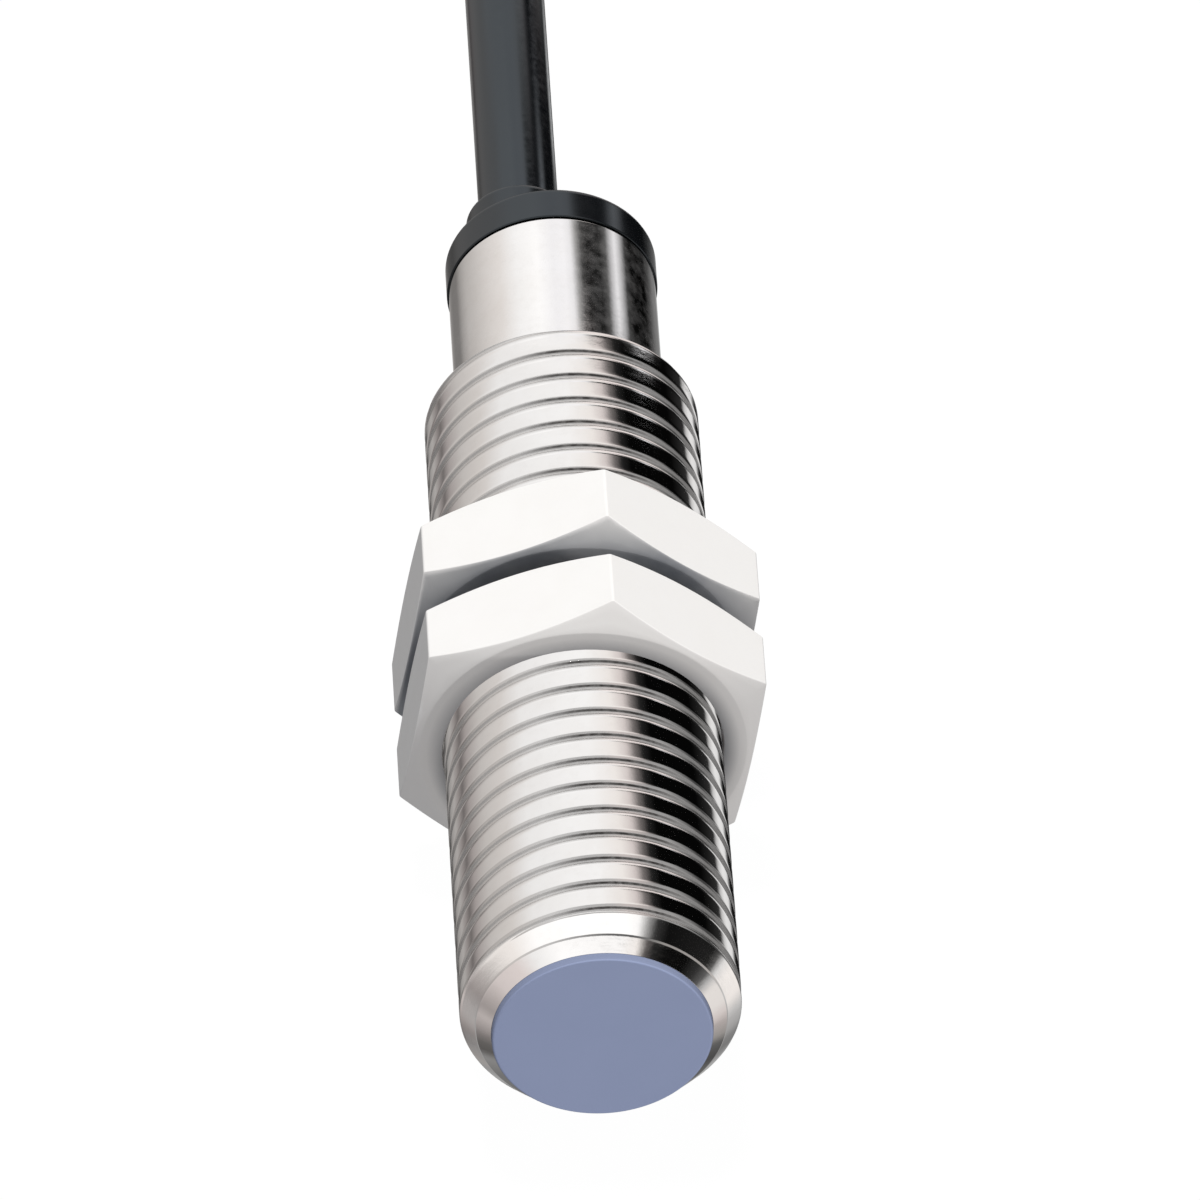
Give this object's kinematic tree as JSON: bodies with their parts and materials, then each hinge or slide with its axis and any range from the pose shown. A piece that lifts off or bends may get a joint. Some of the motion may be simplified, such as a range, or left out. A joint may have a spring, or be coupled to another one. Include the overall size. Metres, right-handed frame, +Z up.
{
  "type": "proximity sensor",
  "caption": "Cylindrical inductive proximity sensor with a threaded metal barrel, flat blue sensing face, plastic mounting nuts, black rear cap and an off-centre cable with flying leads.",
  "frame": {"origin": "centre of the flat sensing face", "axes": "+Y along the barrel from the sensing face towards the cable, so the sensing direction is -Y; +Z up, the side the cable boss is set towards; +X to the right seen from the sensing face's front"},
  "size_m": [0.0158, 0.1001, 0.0166],
  "materials": {
    "nickel_plated_brass": "bright nickel plate over turned brass, reflective",
    "face_blue_plastic": "matte slate blue moulded plastic",
    "seal_rubber": "matte black rubber",
    "ferrite": "sintered dark grey ferrite",
    "natural_nylon": "natural nylon",
    "enamelled_copper": "enamelled copper wire",
    "potting_resin": "cast resin",
    "insulating_film": "rolled insulating film",
    "board_laminate": "green glass-fibre laminate",
    "chip_black": "moulded chip package",
    "chip_ceramic": "fired ceramic",
    "tantalum_yellow": "moulded yellow package",
    "diode_glass": "glass diode body",
    "wire_brown": "brown PVC insulation",
    "wire_black": "black PVC insulation",
    "wire_blue": "blue PVC insulation",
    "bare_copper": "tinned ends of stranded copper",
    "led_red": "tinted clear resin",
    "lens_amber": "translucent amber plastic",
    "cap_black": "black moulded plastic with a faint sheen",
    "cable_pvc": "charcoal PVC sheath with a soft sheen",
    "nut_white": "white moulded plastic, slightly satin"
  },
  "bodies": {
    "sensor_body": {"threaded_barrel": "nickel_plated_brass", "sensing_face_cap": "face_blue_plastic", "front_seal_ring": "seal_rubber", "ferrite_core": "ferrite", "coil_bobbin": "natural_nylon", "coil_winding": "enamelled_copper", "coil_lead_a": "enamelled_copper", "coil_lead_b": "enamelled_copper", "core_carrier": "natural_nylon", "front_potting": "potting_resin", "insulating_sleeve": "insulating_film", "circuit_board": "board_laminate", "oscillator_ic": "chip_black", "output_transistor": "chip_black", "suppressor_diode": "chip_black", "timing_capacitor": "chip_ceramic", "trim_resistor": "chip_black", "smoothing_capacitor": "tantalum_yellow", "load_resistor": "chip_black", "led_resistor": "chip_black", "protection_diode": "diode_glass", "wire_brown": "wire_brown", "wire_black": "wire_black", "wire_blue": "wire_blue", "conductor_brown": "bare_copper", "conductor_black": "bare_copper", "conductor_blue": "bare_copper", "rear_potting": "potting_resin", "indicator_led": "led_red", "led_lens": "lens_amber", "rear_cap": "cap_black", "rear_seal_ring": "seal_rubber", "cable_grommet": "seal_rubber", "cable_jacket": "cable_pvc"},
    "front_nut": {"front_nut": "nut_white"},
    "rear_nut": {"rear_nut": "nut_white"}
  },
  "joints": [
    {"name": "front_nut_turn", "type": "hinge", "parent": "sensor_body", "child": "front_nut", "pos_m": [0, 0.01925, 0], "axis": [0, 1, 0], "continuous": true},
    {"name": "rear_nut_turn", "type": "hinge", "parent": "sensor_body", "child": "rear_nut", "pos_m": [0, 0.02447, 0], "axis": [0, 1, 0], "continuous": true}
  ]
}
